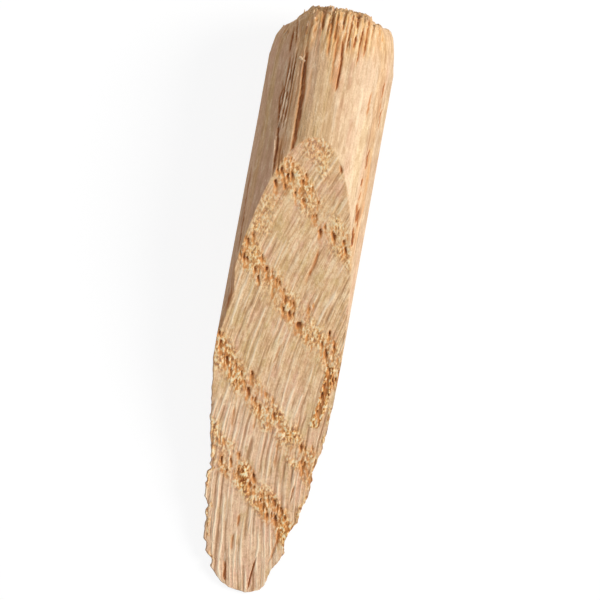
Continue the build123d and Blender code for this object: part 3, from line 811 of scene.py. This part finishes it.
def skin_wood(t):
    """The dowel's skin: streaks along the grain, stains, dark dashes and the torn rim."""
    skin = t.ramp(t.weighed((t.fine, 0.4), (t.mid, 0.4), (t.hair, 0.2)), [
        (0.36, colour(170, 128, 98)), (0.44, colour(202, 163, 122)), (0.50, colour(222, 185, 142)),
        (0.57, colour(238, 205, 164)), (0.66, colour(248, 219, 182)),
    ])
    skin = t.mix(t.fade(t.patch, 0.42, 0.6, 0, 0.4), skin, colour(210, 172, 124))
    # painted light on the right flank
    skin = t.mix(t.times(t.field("right_flank_painted_light"), 0.6), skin, colour(240, 214, 182))
    skin = t.mix(t.times(t.field("stain"), 0.45), skin, colour(200, 146, 116))
    # the left half of the skin, away from the key lamp, is painted mauve and a little darker: partly painted
    # shade, partly the wood's own mauve tint
    skin = t.mix(t.fade(t.px, -1.6, -3.4, 0, 0.5), skin, colour(222, 164, 136))
    skin = t.mix(t.fade(t.px, 3.2, 4.3, 0, 0.6), skin, colour(212, 188, 158))
    skin = t.mix(t.times(t.field("glow"), 0.75), skin, colour(226, 156, 90))
    skin_early = t.ramp(t.weighed((t.fine, 0.5), (t.hair, 0.5)), [
        (0.32, colour(160, 104, 58)), (0.44, colour(210, 158, 102)), (0.54, colour(232, 190, 138)),
        (0.66, colour(242, 210, 166)),
    ])
    skin = t.mix(t.times(t.early, t.fade(t.side, 0.1, 0.8, 0.15, 0.6)), skin, skin_early)
    dash = t.times(t.fade(t.grain(15, 0.32, 1), 0.6, 0.66), t.fade(t.early, 0.2, 0.8))
    dash = t.times(dash, t.most(t.fade(t.px, 2.6, 3.6), t.fade(t.pz, 5.0, 4.0)))
    dash = t.most(dash, t.times(t.fade(t.hair, 0.53, 0.61), t.fade(t.px, 2.8, 3.8, 0, 0.75)))
    skin = t.mix(t.times(dash, 0.75), skin, colour(146, 88, 46))
    rough_end = t.ramp(t.weighed((t.fine, 0.65), (t.hair, 0.35)), [
        (0.32, colour(118, 64, 26)), (0.41, colour(182, 116, 54)), (0.47, colour(218, 160, 90)),
        (0.54, colour(238, 190, 124)), (0.64, colour(250, 218, 164)),
    ])
    return t.mix(t.times(t.rim, t.fade(t.side, 0.1, 0.5, 0.85, 0.25)), skin, rough_end)


def sawn_wood(t, marks):
    """The sawn face: the saw's arcs over broad soft bands."""
    sawn = t.ramp(marks, [
        (0.36, colour(194, 148, 106)), (0.44, colour(224, 180, 134)), (0.50, colour(240, 201, 154)),
        (0.56, colour(250, 215, 170)), (0.64, colour(255, 231, 190)),
    ])
    return t.mix(t.fade(t.saw_wide, 0.4, 0.62, 0, 0.3), sawn, colour(234, 188, 136))


def tinted(t, wood):
    """Slow changes of hue over the plug, mottling, and painted highlight on the saw's crests and painted
    shade in its hollows.
    """
    wood = t.mix(t.fade(t.py, -4, -12, 0, 0.45), wood, colour(252, 212, 184))
    warm = t.times(t.fade(t.px, 1.4, 3.0, 0, 0.4), t.fade(t.py, -9, -12))
    wood = t.mix(warm, wood, colour(240, 184, 130))
    full = t.fade(t.face, 0, 1, 0.55, 1)
    wood = t.mix(t.times(full, t.fade(t.hue, 0.52, 0.64, 0, 0.5)), wood, colour(242, 188, 160))
    wood = t.mix(t.times(full, t.fade(t.hue, 0.36, 0.46, 0.45, 0)), wood, colour(214, 184, 120))
    wood = t.mix(t.fade(t.mottle, 0.36, 0.47, 0.45, 0), wood, colour(184, 138, 96))
    wood = t.mix(t.fade(t.mottle, 0.53, 0.64, 0, 0.5), wood, colour(255, 228, 188))
    wood = t.mix(t.times(t.fade(t.grit, 0.4, 0.6), 0.22), wood, colour(190, 144, 102))
    # painted shade in the hollows of the saw's arcs, stronger towards the tip
    wood = t.mix(t.times(t.field("shaded_hollow"), t.fade(t.foot, 0, 1, 0.55, 0.8)), wood, colour(174, 124, 84))
    # painted highlight on the saw's crests, on the raised fibres between the splits and on the torn end's
    # standing fibres
    return t.mix(t.times(t.field("highlit_crest"), t.fade(t.foot, 0, 1, 0.7, 0.9)), wood, colour(255, 236, 204))


def opened(t, wood):
    """What lies open in the wood: tufted early wood, pores, splits and the torn end, with painted highlight
    on the tufts and painted shade in the pores and splits.
    """
    # the bright stops are painted highlight on the specks that the bump raises in the tufts; the darker stops
    # are the early wood's own colour
    porous = t.ramp(t.speck, [
        (0.37, colour(134, 72, 28)), (0.43, colour(198, 124, 58)), (0.49, colour(234, 174, 102)),
        (0.56, colour(255, 218, 156)), (0.65, colour(255, 242, 204)),
    ])
    share = t.calc("MULTIPLY", t.times(t.tufted, t.face), t.fade(t.foot, 0, 1, 0.85, 1.1), clamp=True)
    wood = t.mix(share, wood, porous)
    near = t.times(t.field("halo"), t.fade(t.speck, 0.42, 0.58, 0.8, 0.15))
    wood = t.mix(near, wood, colour(218, 140, 72))
    # darker the deeper the vessel: partly painted shade in the open vessels, partly their own orange-brown
    # colour
    trail = t.ramp(t.pore, [
        (0.0, colour(238, 186, 118)), (0.3, colour(214, 144, 78)), (0.6, colour(170, 100, 48)),
        (1.0, colour(112, 60, 26)),
    ])
    wood = t.mix(t.fade(t.pore, 0.0, 0.4, 0, 0.92), wood, trail)
    # painted shade in the splits, the crease and the torn end's pits, over the splits' own reddish-brown
    # colour
    split_colour_and_shade = t.ramp(t.cut, [
        (0.0, colour(224, 166, 104)), (0.35, colour(204, 132, 72)), (0.7, colour(174, 102, 50)),
        (1.0, colour(138, 76, 34)),
    ])
    share = t.times(t.fade(t.cut, 0.0, 0.6, 0, 0.95), t.fade(t.speck, 0.36, 0.46, 0.75, 1.0))
    wood = t.mix(share, wood, split_colour_and_shade)
    return t.mix(t.times(t.torn_end, 0.5), wood, t.ramp(t.speck, [
        (0.3, colour(150, 98, 54)), (0.5, colour(212, 162, 106)), (0.7, colour(240, 200, 146)),
    ]))


def oak():
    """Raw, unsanded oak."""
    t = OakNodes()
    marks = t.weighed((t.saw, 0.6), (t.saw_fine, 0.4))
    wood = opened(t, tinted(t, t.mix(t.face, skin_wood(t), sawn_wood(t, marks))))
    lift = t.mix(t.face, t.weighed((t.fine, 0.5), (t.hair, 0.5)), marks)
    lift = t.calc("ADD", lift, t.times(t.speck, t.tufted, 1.2))
    lift = t.calc("ADD", lift, t.times(t.grit, 0.3))
    bump = t.put("ShaderNodeBump", {"Strength": 0.7, "Distance": 0.00008, "Height": lift}).outputs[0]
    rough = t.fade(t.fine, 0.3, 0.7, 0.72, 0.88)
    shader = t.put("ShaderNodeBsdfPrincipled", {"Base Color": wood, "Roughness": rough, "Normal": bump})
    shader.inputs["Specular IOR Level"].default_value = 0.3
    t.put("ShaderNodeOutputMaterial", {0: shader.outputs[0]})
    return t.material


def white_floor():
    """A light floor that looks white and keeps the plug's shadow."""
    t = Nodes("studio_floor")
    path = t.put("ShaderNodeLightPath").outputs
    seen = t.most(path["Is Camera Ray"], t.most(path["Is Glossy Ray"], path["Is Transmission Ray"]))
    tint = t.mix(seen, (0.8, 0.8, 0.8, 1), (0.16, 0.16, 0.16, 1))
    plain = t.put("ShaderNodeBsdfDiffuse", {"Color": tint}).outputs[0]
    glow = t.put("ShaderNodeEmission", {"Color": (1, 1, 1, 1), "Strength": t.times(seen, 0.87)}).outputs[0]
    t.put("ShaderNodeOutputMaterial", {0: t.put("ShaderNodeAddShader", {0: plain, 1: glow}).outputs[0]})
    return t.material


# ---------------------------------------------------------------- stage, lamps and camera
LEAN = math.radians(10.43)  # the plug leans to the left of upright in the picture
RIGHT = Vector((math.cos(LEAN), math.sin(LEAN), 0))
UP = Vector((-math.sin(LEAN), math.cos(LEAN), 0))
PICTURE_WIDTH = 0.04525  # of what the camera sees at the height of the plug's axis
PICTURE_MIDDLE = Vector((0.00088, 0.00014, 0.00475))


def background(tree, tint, strength):
    """A plain background of the world."""
    node = tree.nodes.new("ShaderNodeBackground")
    node.inputs[0].default_value, node.inputs[1].default_value = tint, strength
    return node.outputs[0]


def studio():
    """A plain floor and a soft world that looks white."""
    bpy.ops.mesh.primitive_plane_add(size=6.0, location=(0, 0, 0))
    floor = bpy.context.object
    floor.name = "studio_floor"
    floor.data.materials.append(white_floor())
    world = bpy.data.worlds.new("studio")
    bpy.context.scene.world = world
    world.use_nodes = True
    tree = world.node_tree
    tree.nodes.clear()
    mix = tree.nodes.new("ShaderNodeMixShader")
    tree.links.new(tree.nodes.new("ShaderNodeLightPath").outputs["Is Camera Ray"], mix.inputs[0])
    tree.links.new(background(tree, (0.92, 0.95, 1.0, 1), 0.36), mix.inputs[1])
    tree.links.new(background(tree, (1, 1, 1, 1), 1.0), mix.inputs[2])
    tree.links.new(mix.outputs[0], tree.nodes.new("ShaderNodeOutputWorld").inputs[0])


def lamp(name, towards, distance, size, strength, tint):
    """A round soft lamp that shines at the plug's middle."""
    data = bpy.data.lights.new(name, "AREA")
    data.shape, data.size, data.energy, data.color = "DISK", size, strength, tint
    lamp_object = bpy.data.objects.new(name, data)
    towards = towards.normalized()
    lamp_object.location = towards * distance
    lamp_object.rotation_euler = towards.to_track_quat("Z", "Y").to_euler()
    bpy.context.scene.collection.objects.link(lamp_object)


def camera():
    """A long lens that looks straight down on the plug."""
    data = bpy.data.cameras.new("camera")
    data.lens, data.sensor_width = 500.0, 36.0
    data.clip_start, data.clip_end = 0.01, 20
    eye = bpy.data.objects.new("camera", data)
    distance = PICTURE_WIDTH * data.lens / data.sensor_width
    eye.matrix_world = Matrix.Translation(PICTURE_MIDDLE + Vector((0, 0, distance))) @ Matrix(
        ((RIGHT.x, UP.x, 0, 0), (RIGHT.y, UP.y, 0, 0), (0, 0, 1, 0), (0, 0, 0, 1))
    )
    bpy.context.scene.collection.objects.link(eye)
    bpy.context.scene.camera = eye


camera()
*surface, fields = plug_mesh()
oak_wood = oak()
wood = build_plug(*surface, fields, oak_wood)
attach(wood, "root")
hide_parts("plug")
loose = build_splinters(surface, oak_wood)
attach(loose, "root")
studio()
lamp("key", RIGHT * 0.80 + UP * 0.10 + Vector((0, 0, 0.62)), 0.5, 0.25, 2.25, (1.0, 0.98, 0.95))
lamp("fill", RIGHT * -0.5 + UP * 0.2 + Vector((0, 0, 1.0)), 0.6, 0.5, 0.35, (0.95, 0.97, 1.0))
bpy.context.scene.view_settings.view_transform = "Standard"
